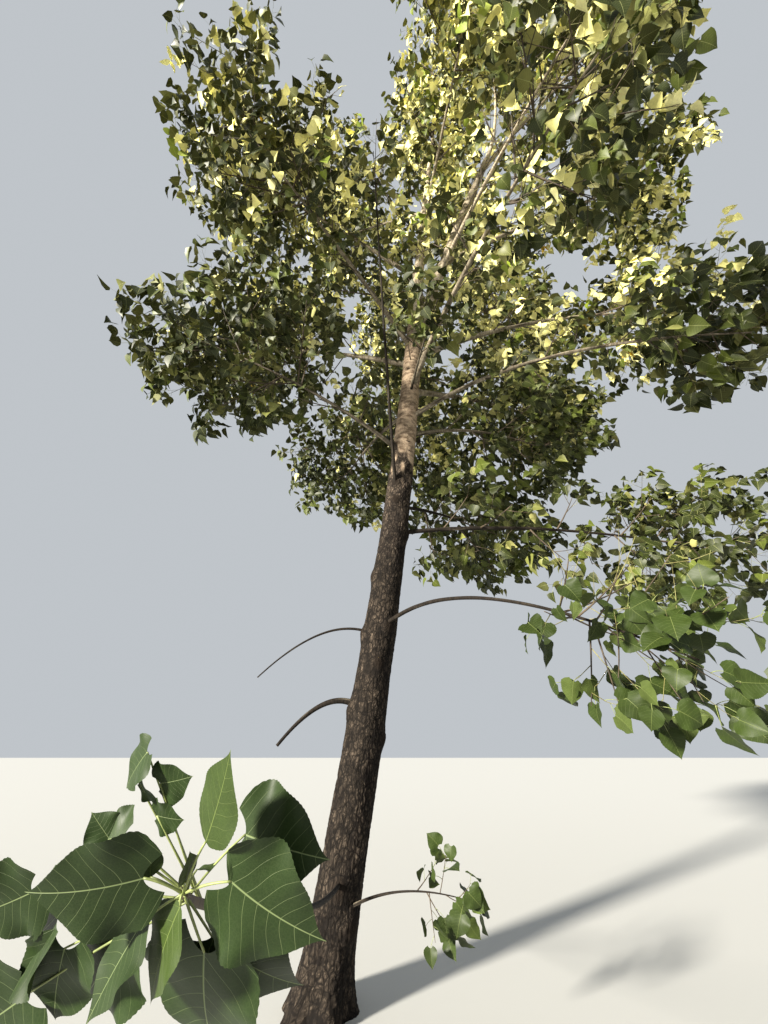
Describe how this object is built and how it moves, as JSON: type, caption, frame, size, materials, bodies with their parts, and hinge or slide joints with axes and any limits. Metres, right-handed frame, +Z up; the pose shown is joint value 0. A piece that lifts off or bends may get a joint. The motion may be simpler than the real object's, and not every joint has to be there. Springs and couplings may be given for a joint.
{
  "type": "eastern cottonwood tree",
  "caption": "Tall broadleaf tree: a trunk that leans a little and forks into two leaders, long thin boughs and an open crown of sprays of triangular leaves.",
  "frame": {"origin": "middle of the flat cut under the trunk, at ground level", "axes": "+Z up; +X to the right of someone who looks along +Y, and the trunk leans towards +X"},
  "size_m": [10.3171, 9.7745, 17.4426],
  "materials": {
    "furrowed_bark": "rough grey-brown bark with shallow interlaced furrows, paler and smoother towards the fork",
    "smooth_bark": "smooth matt cream-grey bark",
    "foliage": "leaf green, half matt, paler underneath"
  },
  "bodies": {
    "root": {"trunk": "furrowed_bark", "leader_left": "smooth_bark", "leader_right": "smooth_bark", "bough_upright": "smooth_bark", "bough_slant": "smooth_bark", "bough_high_left": "smooth_bark", "bough_high_back": "smooth_bark", "bough_high_front": "smooth_bark", "bough_peak_left": "smooth_bark", "bough_high_right": "smooth_bark", "bough_high_right_back": "smooth_bark", "bough_high_right_front": "smooth_bark", "bough_peak_back": "smooth_bark", "bough_mid_right": "smooth_bark", "bough_mid_right_front": "smooth_bark", "bough_mid_left_front": "smooth_bark", "bough_mid_left": "smooth_bark", "bough_mid_back": "smooth_bark", "bough_mid_right_back": "smooth_bark", "bough_fork_front": "smooth_bark", "bough_low_right_front": "smooth_bark", "bough_low_right": "smooth_bark", "bough_low_back": "smooth_bark", "bough_low_left": "smooth_bark", "bough_hanging_right": "smooth_bark", "bough_hanging_back": "smooth_bark", "bough_rising_left": "smooth_bark", "bough_near_right": "smooth_bark", "bough_sprout_front": "smooth_bark", "bough_sprout_foot": "smooth_bark", "bough_bare_left": "smooth_bark", "bough_bare_high": "smooth_bark", "leaves_top": "foliage", "leaves_upright": "foliage", "leaves_slant": "foliage", "leaves_high_left": "foliage", "leaves_high_back": "foliage", "leaves_high_front": "foliage", "leaves_peak_left": "foliage", "leaves_high_right": "foliage", "leaves_high_right_back": "foliage", "leaves_high_right_front": "foliage", "leaves_peak_back": "foliage", "leaves_mid_right": "foliage", "leaves_mid_right_front": "foliage", "leaves_mid_left_front": "foliage", "leaves_mid_left": "foliage", "leaves_mid_back": "foliage", "leaves_mid_right_back": "foliage", "leaves_fork_front": "foliage", "leaves_low_right_front": "foliage", "leaves_low_right": "foliage", "leaves_low_back": "foliage", "leaves_low_left": "foliage", "leaves_hanging_right": "foliage", "leaves_hanging_back": "foliage", "leaves_rising_left": "foliage", "leaves_near_right": "foliage", "leaves_sprout_front": "foliage", "leaves_sprout_foot": "foliage"}
  },
  "joints": []
}
